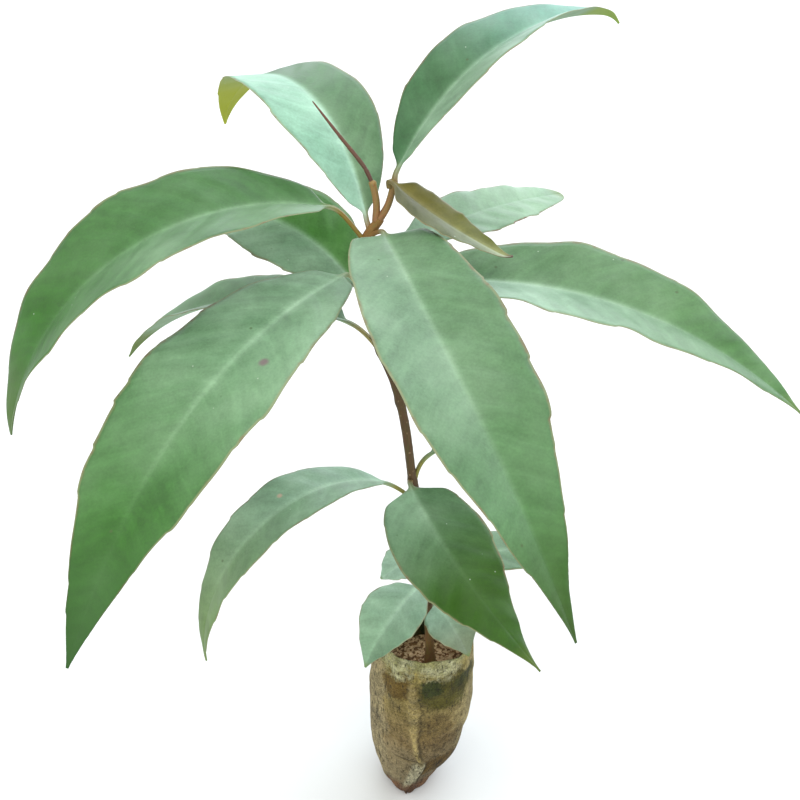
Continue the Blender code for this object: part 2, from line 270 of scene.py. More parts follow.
def stemRadius(height):
    # Narrows evenly from the soil to the fork, and flares like a bell curve over the last millimetres
    low, high = stemShape["bends"][0][0], stemShape["bends"][-1][0]
    even = stemShape["radius"] + (stemShape["top"] - stemShape["radius"]) * (height - low) / (high - low)
    flare = np.exp(-3 * ((height - low) / stemShape["flare"]) ** 2)
    return even + (stemShape["foot"] - stemShape["radius"]) * flare


def barkMaterial(name, shades, lowAt, highAt, rough):
    # Young bark, grown: finely furrowed lengthwise, dull, with small pale corky pores
    material, tree, shader = newMaterial(name, Roughness=rough, IOR=1.45)
    place = mark(tree, "barkPlace")
    spot = put(tree, "TexCoord").outputs["Object"]
    share = ease(tree, put(tree, "SeparateXYZ", {0: spot}).outputs["Z"], lowAt * mm, highAt * mm)
    uneven = ease(tree, noise(tree, spot, 90.0, 4.0), 0.0, 1.0, -0.3, 0.3)
    age = put(tree, "Math", {0: share, 1: uneven}, operation="ADD", use_clamp=True)
    shade = put(tree, "ValToRGB", {0: age.outputs[0]}, stops=shades)
    # furrows are 0.5 mm apart round the limb and 6 mm long
    lanes = put(tree, "Mapping", {"Vector": place, "Scale": (0.16, 1.9, 1.0)}).outputs[0]
    furrow = put(tree, "TexNoise", {"Vector": lanes, "Scale": 1.0, "Detail": 5.0, "Roughness": 0.6}).outputs
    dark = put(tree, "Mix", {0: 0.55, 6: shade.outputs[0], 7: furrow["Color"]},
               data_type="RGBA", blend_type="OVERLAY").outputs[2]
    # pores are about 0.6 mm across, one every 3 mm or so
    sparse = put(tree, "Mapping", {"Vector": place, "Scale": (0.3, 0.42, 1.0)}).outputs[0]
    pores = put(tree, "TexVoronoi", {"Vector": sparse, "Scale": 1.0, "Randomness": 1.0}).outputs["Distance"]
    pore = put(tree, "ValToRGB", {0: pores}, stops=[(0.1, 1.0), (0.19, 0.0)]).outputs[0]
    dress(tree, shader, layOver(tree, dark, pore, stemShape["lenticel"]),
          figure(tree, "ADD", furrow["Fac"], pore), 0.5, 0.0003)
    return material


def leafHeights():
    # Where on the stem the leaf stalks leave it
    return np.array([leaf["height"] for leaf in leaves.values() if "height" in leaf], float)


def stemRelief(gone, angle):
    # Ridges that wander round the stem, and a swelling at each height where a leaf stalk leaves it
    s = stemShape
    wander = s["ridges"] * angle + 1.4 * np.sin(gone * 0.11) + 0.8 * np.sin(gone * 0.31 + angle)
    ridge = s["ridgeDepth"] * (np.sin(wander) + 0.5 * np.sin(2.3 * wander + gone * 0.9))
    height = s["bends"][0][0] + gone * (s["bends"][-1][0] - s["bends"][0][0]) / gone.max()
    swell = np.exp(-((height[..., None] - leafHeights() + 1.0) / s["nodeLength"]) ** 2).sum(-1)
    return ridge + s["nodeSwell"] * np.minimum(swell, 1.2)


def makeStem():
    # Circles carried up the stem's curve, with bark relief
    s = stemShape
    low, high = s["bends"][0][0], s["bends"][-1][0]
    heights = np.linspace(low - 1.5, high + 0.2, s["rows"])
    path = stemPoint(np.maximum(heights, low))
    path[:, 2] = heights
    rings, marks = carry(path, stemRadius(heights), s["around"], stemRelief)
    # the bark is darkest from about a quarter to four fifths of the way up, under the leaves: partly its own
    # brown, partly painted shade
    shades = [(0.0, s["soilStained"]), (0.97, s["orange"]), (0.25, s["dark"]), (0.8, s["dark"])]
    skin("stemBark", rings, barkMaterial("youngBark", shades, 72.0, 290.0, 0.72), ["stem"],
         {"barkPlace": marks})


twigShape = dict(radius=1.5, right=[(-18.8, 0, 296.0), (-15.4, 0, 302.0), (-13.0, 0, 310.5)],
                 left=[(-20.3, 0, 295.4), (-20.0, 0, 303.0), (-21.6, 0, 311.5)],
                 around=24, rows=60, green="#7f6c38", brown="#7f5d36")


def smoothPath(points, rows):
    # A smooth curve through a few points, read at even steps of the distance along them
    points = np.array(points, float)
    gone = np.concatenate([[0], np.cumsum(np.linalg.norm(np.diff(points, axis=0), axis=1))])
    return np.stack(smoothRows(np.column_stack([gone, points]), np.linspace(0, gone[-1], rows)), -1)


def makeTwigs():
    # Circles carried along each twig's curve, a little swollen near the end and rounded off there
    t = twigShape
    bark = barkMaterial("greenBark", [(0.0, t["brown"]), (1.0, t["green"])], 296.0, 314.0, 0.6)
    for side in ("right", "left"):
        path = smoothPath(t[side], t["rows"])
        share = np.linspace(0, 1, t["rows"])
        radii = t["radius"] * (1 - 0.15 * share) + 0.25 * np.exp(-((share - 0.95) / 0.12) ** 2)
        radii = radii * np.sqrt(1 - np.clip((share - 0.93) / 0.075, 0, 1) ** 2)
        rings, marks = carry(path, radii, t["around"],
                             lambda gone, angle: 0.05 * np.sin(9 * angle + 0.8 * np.sin(gone * 0.5)))
        skin(side + "Twig", rings, bark, ["twig_" + side], {"barkPlace": marks})


budShape = dict(points=[(-21.4, 0, 310.2), (-24.5, 0.5, 316.5), (-34, 1.5, 328.5), (-43.5, 1.5, 341)],
                radius=0.85, tip=0.25, scales=7, step=0.16, around=20, rows=220,
                foot="#4a2f22", end="#63402f")


def makeBud():
    # The shoot's bud: overlapping scales, so the radius steps in along it like a row of nested cones
    b = budShape
    path = smoothPath(b["points"], b["rows"])
    share = np.linspace(0, 1, b["rows"])
    radii = b["radius"] * (1 - share ** 2.2) + b["tip"] * share ** 2.2
    radii = radii * np.sqrt(np.clip(1 - ((share - 0.97) / 0.031).clip(0, 1) ** 2, 0.02, 1))

    def scales(gone, angle):
        # Each scale's free edge stands out on one side of the shoot and then on the other
        turn = gone / gone.max() * b["scales"] + 0.5 * np.sin(angle) / np.pi
        return b["step"] * (turn % 1.0 - 0.5) * (1 - gone / gone.max())
    rings, marks = carry(path, radii, b["around"], scales)
    scale = barkMaterial("budScale", [(0.0, b["foot"]), (1.0, b["end"])], 311.0, 341.0, 0.55)
    skin("shootBud", rings, scale, ["bud"], {"barkPlace": marks})


# Leaves: the same rule as the solids' leaves, on a finer grid

# The tones of leaf that occur on the plant, from pale blades, partly painted sky sheen, to the deep green of
# an old one
leafTones = dict(mist="#87a48e", haze="#769579", sage="#68846a", leaf="#577656", grass="#466b3f",
                 deep="#335e26", forest="#2b4e0e", pine="#355a38", mint="#6a9a8c", olive="#516a38",
                 bronze="#54501f", moss="#66735a", fresh="#517e44", frost="#7ba28c", shade="#2d5a1c",
                 fern="#3d6338", khaki="#4d4f36", ash="#677257", drab="#585d2b")

# height: where the stalk leaves the stem. azimuth: 0 is right, 90 is back. rise: slope of the stalk.
# knee: how late the stalk bends to the blade's slope. turn: how far the stalk swings.
# lift: slope at the blade's base. droop and bend: how it bends down. sweep: how it turns sideways.
# roll: tilt about the midrib. fold: rise of each half from the midrib. hook: how far the tip curls down.
# base and full: under 1 they keep the base and the end of the blade broad.
# near and far: the tone of the right half and of the left half, at the blade's base and at its end; the paler
# half holds painted sky sheen, a darker end painted shade.
# shift: from where to where along the blade the tone changes. tipFrom: where the tip's colour starts,
# sooner on the underside; a deep green tip is partly painted shade. rib: how light the midrib is.
# ribEnd: the share of that left near the tip.
# rust: how red the rim gets. dust: the share of net squares with a grain. wave and waves: height and
# number of the margin's waves. spot: place along and across, size and colour of one blemish.
leafRule = dict(petiole=12, rise=30, knee=2, turn=0, lift=10, droop=40, bend=1.0, sweep=0, roll=0, fold=8,
                widest=0.42, base=0.8, full=1.0, hook=0, near=("leaf", "leaf"), far=("grass", "grass"),
                back="#7c9678", stalk="#7a5c34", tip="#5d7035", shift=(0.1, 0.85), tipFrom=0.93,
                rust=0.5, dust=0.12, wave=0.5, waves=4.0, rib=0.45, ribEnd=0.15, spot=None)

leaves = {
    "leaf_left_arching": dict(height=287, azimuth=-163, petiole=21, rise=54, knee=5, length=169, width=60,
                              lift=14, droop=91, fold=13, roll=-12, base=0.6, full=0.7, near=("fern", "leaf"),
                              far=("shade", "shade"), shift=(0.25, 0.85), stalk="#78652b", tip="#3a5600",
                              tipFrom=0.8, wave=0.7),
    "leaf_upper_left": dict(height=291, azimuth=130, petiole=6, rise=55, length=136, width=46, lift=74,
                            droop=132, bend=1.1, fold=5, roll=-4, full=0.9, hook=25, near=("leaf", "frost"),
                            far=("pine", "frost"), tip="#a0a52a", tipFrom=0.74, stalk="#84582c", wave=0.3),
    "leaf_left_front": dict(height=264, azimuth=-132, petiole=16, rise=60, knee=5, length=182, width=57,
                            lift=-6, droop=48, sweep=17, roll=-5, base=0.5, near=("haze", "haze"),
                            far=("deep", "deep"), shift=(0.05, 0.8), stalk="#7a7038", tip="#1a4206",
                            tipFrom=0.7, wave=0.9, spot=(0.33, 0.45, 2.0, "#6d4a5c")),
    "leaf_front": dict(height=289, azimuth=-75.5, rise=35, turn=-50, length=175, width=52, lift=-10, droop=50,
                       sweep=28, fold=14, roll=4, base=0.32, full=1.1, near=("sage", "leaf"),
                       far=("grass", "deep"), shift=(0.3, 1.0), tip="#2a4206", tipFrom=0.75, rib=0.35,
                       wave=0.9),
    "leaf_right": dict(height=263, azimuth=-6, petiole=16, rise=35, length=168, width=52, lift=8, droop=43,
                       bend=1.2, sweep=-27, fold=15, roll=11, full=1.12, near=("mist", "leaf"),
                       far=("leaf", "grass"), wave=0.8),
    "leaf_back_right": dict(height=276, azimuth=45, rise=20, length=121, width=30, lift=9, droop=17, fold=4,
                            roll=18, base=2.0, full=0.45, near=("sage", "sage"), far=("haze", "haze"),
                            rust=0.9, rib=0.1),
    "leaf_back_left": dict(height=264, azimuth=150, petiole=3, rise=50, length=92, width=46, lift=50,
                           droop=78, fold=4, roll=-20, near=("fresh", "haze"), far=("fresh", "haze")),
    "leaf_far_left": dict(height=239, azimuth=161, petiole=18, rise=50, length=122, width=42, lift=18,
                          droop=68, fold=15, near=("leaf", "sage"), far=("leaf", "sage"), stalk="#968a58"),
    "leaf_back_low": dict(height=215, azimuth=75, petiole=14, rise=45, length=118, width=44, lift=25,
                          droop=85, fold=10, near=("leaf", "sage")),
    "leaf_lower_left": dict(height=165, azimuth=-145, petiole=22, rise=50, length=131, width=31, lift=33,
                            droop=127, roll=-2, near=("mist", "haze"), far=("olive", "olive"),
                            shift=(0.25, 0.95), stalk="#767436", spot=(0.39, -0.4, 1.1, "#c09a8c")),
    "leaf_lower_front": dict(height=176, azimuth=-70, petiole=7, turn=60, length=98, width=44, lift=-18,
                             droop=24, sweep=40, fold=-3, roll=8, widest=0.34, base=0.4, full=1.3,
                             near=("haze", "leaf"), far=("forest", "forest"), shift=(0.0, 0.6),
                             tip="#4a5a10", tipFrom=0.85, wave=0.4, rib=0.3, dust=0.5),
    "leaf_lower_right": dict(height=172, azimuth=25, petiole=18, rise=85, length=52, width=26, lift=25,
                             droop=50, fold=10, stalk="#767436", wave=0.3),
    "leaf_low_right": dict(height=123, azimuth=25, petiole=10, length=70, width=32, lift=2, droop=15,
                           fold=0, near=("leaf", "leaf"), far=("leaf", "leaf"), wave=0.3),
    "leaf_low_left": dict(height=134, azimuth=-155, petiole=5, rise=20, length=19, width=24, lift=-5,
                          droop=30, fold=5, near=("mist", "mist"), far=("mist", "mist"), wave=0.25),
    "leaf_foot_left": dict(height=120, azimuth=-130, petiole=4, rise=20, length=48, width=32, lift=-5,
                           droop=50, fold=10, near=("mist", "mist"), far=("haze", "sage"), wave=0.4),
    "leaf_foot_right": dict(height=110, azimuth=-52, petiole=4, rise=20, length=31, width=28, lift=-10,
                            droop=40, fold=10, near=("mist", "mist"), far=("moss", "moss"), wave=0.4),
    "leaf_top_right": dict(foot=(-13.1, 0, 310.1), azimuth=35, petiole=5, rise=85, length=133, width=43,
                           lift=58, droop=70, fold=19, hook=30, near=("sage", "pine"), far=("mint", "mint"),
                           shift=(0.3, 1.0), tip="#7c9238", tipFrom=0.95, wave=0.3),
    "leaf_young": dict(foot=(-14.5, 0, 308.8), azimuth=-22, petiole=5, rise=75, turn=140, length=55, width=19,
                       lift=-35, droop=-16, roll=14, widest=0.38, base=0.3, hook=-40,
                       near=("khaki", "bronze"), far=("ash", "drab"), back="#6a6440", tip="#4e3433",
                       stalk="#6b5a30", wave=0.3, rib=0.5, ribEnd=1.4),
}
leafGrid = dict(stalkRows=14, bladeRows=170, across=31, thick=0.55, edge=0.22, stalkRadius=1.1,
                ribWidth=1.0, ribDrop=0.8, groove=0.25, tooth=(0.2, 1.1), toothGap=(9, 27), pucker=0.2)


def heading(azimuth, slope):
    # The unit direction for a compass angle and a slope above the level, in degrees
    a, e = np.radians(azimuth), np.radians(slope)
    return np.stack(np.broadcast_arrays(np.cos(e) * np.cos(a), np.cos(e) * np.sin(a), np.sin(e)), -1)


def walk(start, azimuth, slope, length):
    # Adds up short steps, each in its own direction, from a starting point
    steps = heading(azimuth, slope) * (length / len(slope))
    return np.concatenate([[start], start + np.cumsum(steps, axis=0)])


def bladeSlope(leaf, t):
    # The slope falls from the lift by the droop along the blade, and the hook falls over the last tenth
    hooked = leaf["hook"] * np.clip((t - 0.9) / 0.1, 0, 1) ** 1.5
    return leaf["lift"] - leaf["droop"] * t ** leaf["bend"] - hooked


def halfWidth(leaf, t):
    # Swells from the stalk to the widest place by a sine, then narrows to the tip by a cosine
    peak = leaf["widest"]
    rising = np.sin(np.pi / 2 * np.clip(t / peak, 0, 1)) ** leaf["base"]
    falling = np.cos(np.pi / 2 * np.clip((t - peak) / (1 - peak), 0, 1))
    falling = np.maximum(falling, 0) ** (1.15 * leaf["full"])
    return 0.5 + (leaf["width"] / 2 - 0.5) * np.where(t < peak, rising, falling)


def toothed(rng, length, along):
    # The margin in straight runs, each going out to a small tooth and stepping back behind it,
    # less the mean
    small = min(1.0, 0.35 + length / 260)
    places = np.cumsum(rng.uniform(*leafGrid["toothGap"], 24)) * small
    depths = rng.uniform(*leafGrid["tooth"], 24) * small
    corners = np.stack([places, places + 1.3], -1).ravel()
    margin = np.interp(along, corners, np.stack([depths, depths * 0], -1).ravel())
    return margin - margin.mean()


def leafRings(leaf, seed):
    # One leaf in one skin: a round stalk whose section spreads into the blade's over the first millimetres.
    # The blade's section is a soft V with a groove over the midrib and a rib under it; its margins wave.
    g = leafGrid
    rng = np.random.default_rng(seed)
    start = np.array(leaf["foot"], float) if "foot" in leaf else stemPoint(float(leaf["height"]))
    middles = (np.arange(60) + 0.5) / 60
    stalk = walk(start, leaf["azimuth"] - leaf["turn"] * (1 - middles),
                 leaf["rise"] + (leaf["lift"] - leaf["rise"]) * middles ** leaf["knee"], leaf["petiole"])
    fine = (np.arange(880) + 0.5) / 880
    midrib = walk(stalk[-1], leaf["azimuth"] + leaf["sweep"] * fine, bladeSlope(leaf, fine), leaf["length"])
    tStalk = np.linspace(0, 1, g["stalkRows"], endpoint=False)
    t = 1 - (1 - np.linspace(0, 1, g["bladeRows"])) ** 1.15
    centre = np.concatenate([stalk[np.round(tStalk * 60).astype(int)], midrib[np.round(t * 880).astype(int)]])
    azimuth = leaf["azimuth"] + np.concatenate([-leaf["turn"] * (1 - tStalk), leaf["sweep"] * t])
    slope = np.concatenate([leaf["rise"] + (leaf["lift"] - leaf["rise"]) * tStalk ** leaf["knee"],
                            bladeSlope(leaf, t)])
    t = np.concatenate([(tStalk - 1) * leaf["petiole"] / leaf["length"], t])[:, None]
    ahead, side = heading(azimuth, slope), heading(azimuth + 90, 0.0)
    face = np.cross(ahead, side)
    turn = np.radians(leaf["roll"])
    side, face = side * np.cos(turn) + face * np.sin(turn), face * np.cos(turn) - side * np.sin(turn)

    q = np.linspace(1, -1, g["across"])[None, :]
    s = q * (0.6 + 0.4 * q ** 2)
    spread = np.clip(t * leaf["length"] / 7.0, 0, 1)
    spread = spread * spread * (3 - 2 * spread)
    knob = 1.0 + 0.35 * np.exp(-((t * leaf["length"] + leaf["petiole"]) / 2.5) ** 2)
    slim = g["stalkRadius"] * np.where(t < 0, knob, 1.0 - 0.75 * np.clip(t, 0, 1) ** 0.7)
    phase = rng.uniform(0, 2 * np.pi, 6)
    onBlade = np.clip(t, 0, 1)
    calm = np.sin(np.pi * onBlade) ** 0.6
    along = onBlade * leaf["length"]
    rightTeeth, leftTeeth = (toothed(rng, leaf["length"], along) for _ in range(2))
    teeth = np.where(s > 0, rightTeeth, leftTeeth) * calm
    reach = halfWidth(leaf, onBlade)
    fold = np.radians(leaf["fold"])
    out = (reach * s + np.sign(s) * teeth * np.clip(np.abs(s) * 2 - 1, 0, 1)) * np.cos(fold)
    lift = reach * np.sin(fold) * (np.sqrt(s ** 2 + 0.002) - 0.045) * (1.12 - 0.12 * s ** 2)
    wave = leaf["wave"] * calm * np.abs(s) ** 2.2 * (
        np.sin(2 * np.pi * leaf["waves"] * onBlade + phase[2] + 1.9 * np.sign(s))
        + 0.5 * np.sin(2 * np.pi * leaf["waves"] * 1.9 * onBlade + phase[3] + np.sign(s)))
    buckle = 0.6 * calm * np.sin(5 * onBlade + 2.2 * s + phase[4]) * np.abs(s)
    # between the side veins, 14 mm apart, the blade puffs up a little
    slanted = along - 0.36 * np.abs(out) ** 1.25 + 5 * np.sin(along / 31 + phase[5] + np.sign(s))
    buckle = buckle + g["pucker"] * calm * np.sin(np.pi * np.abs(s)) * np.cos(2 * np.pi * slanted / 14)
    rib = np.exp(-(out / (g["ribWidth"] * (1.15 - 0.8 * onBlade))) ** 2)
    upper = lift + wave + buckle - g["groove"] * rib * (1 - 0.7 * onBlade)
    skinDepth = g["edge"] + (g["thick"] - g["edge"]) * (1 - np.abs(s) ** 4)
    lower = upper - skinDepth - g["ribDrop"] * rib * (1 - 0.85 * onBlade)
    roundness = np.cos(np.pi / 2 * q)
    stalkOut = slim * np.sin(np.pi / 2 * q)
    x = stalkOut + (out - stalkOut) * spread
    up = slim * 0.85 * roundness * (1 - 0.3 * np.exp(-(q / 0.35) ** 2))
    upper = up + (upper + skinDepth / 2 - up) * spread
    lower = -slim * roundness + (lower + skinDepth / 2 + slim * roundness) * spread
    across = np.concatenate([x, x[:, ::-1]], 1)
    rise = np.concatenate([upper, lower[:, ::-1]], 1)
    rings = centre[:, None] + side[:, None] * across[..., None] + face[:, None] * rise[..., None]
    sAll = np.concatenate([np.broadcast_to(s, x.shape), np.broadcast_to(s[:, ::-1], x.shape)], 1)
    under = np.concatenate([np.zeros_like(x), np.ones_like(x)], 1)
    tAll = np.broadcast_to(t, sAll.shape)
    return rings, {"leafShare": np.stack([tAll, sAll, under], -1),
                   "leafReach": np.stack([tAll * leaf["length"], across, under], -1)}


def leafMaterial(name, leaf):
    # A leathery evergreen leaf, grown: waxed and half glossy above, so it takes the sky's colour where it
    # turns away; dull and paler below; a soft pale midrib, faint side veins and a thin light rim
    material, tree, shader = newMaterial(name, IOR=1.45, Specular_IOR_Level=0.3)
    gone, side, under = put(tree, "SeparateXYZ", {0: mark(tree, "leafShare")}).outputs
    reach = mark(tree, "leafReach")
    along, across, _ = put(tree, "SeparateXYZ", {0: reach}).outputs
    spot = put(tree, "TexCoord").outputs["Object"]
    edge, out = figure(tree, "ABSOLUTE", side), figure(tree, "ABSOLUTE", across)
    # cloudy tone over 25 mm, blotches of 4 mm, speckle under 1 mm, and streaks that run out from the midrib,
    # the streaks painted shade and sheen of the puckers between the side veins
    cloud = noise(tree, spot, 38.0, 3.0)
    blotch = noise(tree, spot, 230.0, 4.0, 0.6)
    speckle = noise(tree, spot, 1100.0)
    back = grow(tree, figure(tree, "POWER", out, 1.25), -0.36, along)
    loose = grow(tree, noise(tree, spot, 60.0), 6.0, back)
    lanes = put(tree, "CombineXYZ", {0: loose, 1: across}).outputs[0]
    lanes = put(tree, "Mapping", {"Vector": lanes, "Scale": (0.17, 0.05, 1.0)}).outputs[0]
    mixed = grow(tree, blotch, 0.4, cloud)
    # painted shade and sheen: lighter and darker streaks along the puckers between the side veins
    mixed = grow(tree, noise(tree, lanes, 1.0, 4.0, 0.6), 0.65, mixed)
    mixed = grow(tree, speckle, 0.35, mixed)
    # each half has its own tone, partly painted sky sheen on the half that turns to the sky, and the tones
    # deepen along the blade, partly painted shade where it bends down away from the light
    half = ease(tree, side, -0.12, 0.12, curve="SMOOTHSTEP")
    later = ease(tree, gone, *leaf["shift"], curve="SMOOTHSTEP")
    near, far = (layOver(tree, leafTones[a], half, leafTones[b]) for a, b in (leaf["near"], leaf["far"]))
    top = put(tree, "HueSaturation", {"Color": layOver(tree, near, later, far),
                                      "Value": ease(tree, mixed, 0.88, 1.53, 0.68, 1.36),
                                      "Saturation": ease(tree, cloud, 0.3, 0.7, 1.15, 0.9)}).outputs[0]
    blade = layOver(tree, top, under, leaf["back"])
    # side veins: 14 mm apart, leaving the midrib at a slant and bending on towards the tip
    rung = figure(tree, "FRACT", figure(tree, "DIVIDE", loose, 14.0))
    veinGap = figure(tree, "ABSOLUTE", figure(tree, "SUBTRACT", rung, 0.5))
    vein = ease(tree, veinGap, 0.01, 0.07, 1.0, 0.0, "SMOOTHSTEP")
    edgeFade = ease(tree, edge, 0.5, 0.92, 1.0, 0.0)
    # midrib: a soft core 2 mm broad in a pale stripe of 8 mm, both fading out towards the tip; the core is
    # the rib's own pale colour, the 8 mm stripe partly painted highlight
    core = ease(tree, out, 0.2, 1.8, 0.9, 0.0, "SMOOTHSTEP")
    ribBandAndHighlight = ease(tree, out, 0.3, 4.4, 0.65, 0.0, "SMOOTHSTEP")
    ribFade = ease(tree, gone, 0.15, 0.85, leaf["rib"], leaf["rib"] * leaf["ribEnd"])
    pale = figure(tree, "MULTIPLY", figure(tree, "ADD", core, ribBandAndHighlight), ribFade)
    pale = grow(tree, times(tree, vein, edgeFade), 0.05, pale)
    lighter = put(tree, "HueSaturation", {"Color": blade, "Value": 1.7, "Saturation": 0.8}).outputs[0]
    last = layOver(tree, blade, pale, lighter)
    # rim: the outer 3 parts in 100 light, partly the margin's own pale colour and partly painted highlight,
    # and rust red where the blotches are strong
    last = layOver(tree, last, ease(tree, edge, 0.955, 0.985, 0.0, 0.55), "#938f6c")
    rust = times(tree, ease(tree, blotch, 0.5, 0.64, 0.0, leaf["rust"]), ease(tree, edge, 0.93, 0.98))
    last = layOver(tree, last, rust, "#714c3d")
    # the tip's colour; on the leaves whose tip is deep green, that green is partly painted shade
    toTip = ease(tree, grow(tree, under, 0.15, gone), leaf["tipFrom"], 1.0, 0.0, 0.9)
    last = layOver(tree, last, toTip, leaf["tip"])
    # the stalk's own colour runs a little way up the midrib
    last = layOver(tree, last, ease(tree, along, -5.0, 4.0, 1.0, 0.0), leaf["stalk"])
    # grains of dust and lime, 0.4 mm across, and dark specks, on some of the squares of a 5 mm net
    net = put(tree, "TexVoronoi", {"Vector": spot, "Scale": 200.0}).outputs
    chance = put(tree, "SeparateColor", {0: net["Color"]}).outputs
    for i, share, small, big, most, shade in ((0, leaf["dust"], 0.03, 0.075, 0.7, "#a9b5a6"),
                                              (1, 0.05, 0.08, 0.16, 0.6, "#3f4a2c")):
        grain = ease(tree, net["Distance"], small, big, most, 0.0)
        picked = figure(tree, "GREATER_THAN", chance[i], 1.0 - share)
        last = layOver(tree, last, times(tree, grain, picked), shade)
    if leaf["spot"]:
        # one blemish, a soft round patch at its place on the blade
        place, acrossShare, size, colour = leaf["spot"]
        centre = (place * leaf["length"], acrossShare * leaf["width"] / 2, 0.0)
        away = put(tree, "VectorMath", {0: reach, 1: centre}, operation="DISTANCE").outputs["Value"]
        last = layOver(tree, last, ease(tree, away, size * 0.5, size * 1.3, 0.7, 0.0), colour)
    rough = ease(tree, mixed, 0.9, 1.5, 0.36, 0.5)
    dull = put(tree, "Mix", {0: under, 2: rough, 3: 0.7}, data_type="FLOAT")
    tree.links.new(dull.outputs[0], shader.inputs["Roughness"])
    # the surface sinks along the veins and puffs a little between them
    puffed = times(tree, ease(tree, veinGap, 0.0, 0.3, curve="SMOOTHSTEP"), edgeFade)
    dress(tree, shader, last, grow(tree, blotch, 0.8, grow(tree, speckle, 0.15, puffed)), 0.3, 0.0004)
    return material


def makeLeaves():
    # Every leaf by the rule and its own values, each with its own seed
    for seed, (name, own) in enumerate(leaves.items()):
        leaf = {**leafRule, **own}
        rings, marks = leafRings(leaf, seed + 11)
        words = name.split("_")
        piece = words[1] + "".join(w.title() for w in words[2:]) + "Leaf"
        skin(piece, rings, leafMaterial(piece + "Skin", leaf), [name], marks)


# Bag: spunbond cloth, filled and sagging, drawn to a corner at the front and back seam

bagShape = dict(height=90.0, wall=0.8, around=340, rows=220, innerRows=50,
                sections=[(0, 11, 18, 1.6, -5), (3, 13.5, 19.5, 1.45, -5), (9, 17, 21, 1.25, -4.5),
                          (20, 22, 23, 1.1, -2.5), (42, 26, 24.5, 1, -0.4), (66, 25.5, 24.5, 1, -0.2),
                          (80, 24.5, 24, 1, 0.4), (90, 23.5, 23.5, 1, 1)],
                seam=[(0, -7.5), (8, -5.5), (18, -2.6), (27, -0.3), (33, -2.5), (45, -4.0), (62, -4.6),
                      (77, -5.2), (90, -6.0)],
                seamWidth=[(0, 1.3), (30, 1.1), (42, 1.3), (52, 2.0), (62, 2.4), (70, 2.3), (76, 1.9),
                           (90, 1.6)],
                seamRise=1.4, sag=0.8, fold=0.45, crease=0.45, flap=1.5, frontRise=2.6, squeezed=2.6,
                cornerLean=2.5, footSqueezed=2.6)
bagCloth = dict(body="#68593a", low="#5a513c", foot="#5e432d", rimward="#7d7240", stainAndShadow="#3b390f",
                wet="#252f14", brown="#4e3c16", moss="#838256", pale="#a1a07d", edge="#877c56",
                strip="#8a7f5f", seam="#86794f", flap="#9a977c", soiledAndShaded="#4d3b18", dash="#29261a")
# Oval patches of colour, in the order they are laid: centre, radii, the most of it, and which colour
bagPatches = [((-13, 26), (11, 15), 0.3, "strip"), ((-11.5, 75), (7.5, 8), 0.85, "brown"),
              # the dark green patches just below the rim, right of the seam, are partly algae stain and
              # partly painted shadow under the dented cloth
              ((7, 48), (9, 12), 0.35, "brown"), ((11, 72), (15, 10.5), 0.9, "stainAndShadow"),
              ((4, 76), (6, 5), 0.8, "wet"), ((19, 75), (5, 3.5), 0.6, "wet"),
              # the dark brown low on the right of the seam is partly dried soil and partly painted shade
              ((9, 22), (11, 7), 0.9, "soiledAndShaded"), ((21, 89), (9, 8), 0.85, "rimward"),
              ((-13, 90), (8, 9.5), 0.9, "moss"), ((7, 90.5), (16, 7.5), 0.9, "moss")]


def step(value, low, high):
    # 0 below the low value, 1 over the high one, and the smooth cubic between them
    t = np.clip((value - low) / (high - low), 0, 1)
    return t * t * (3 - 2 * t)


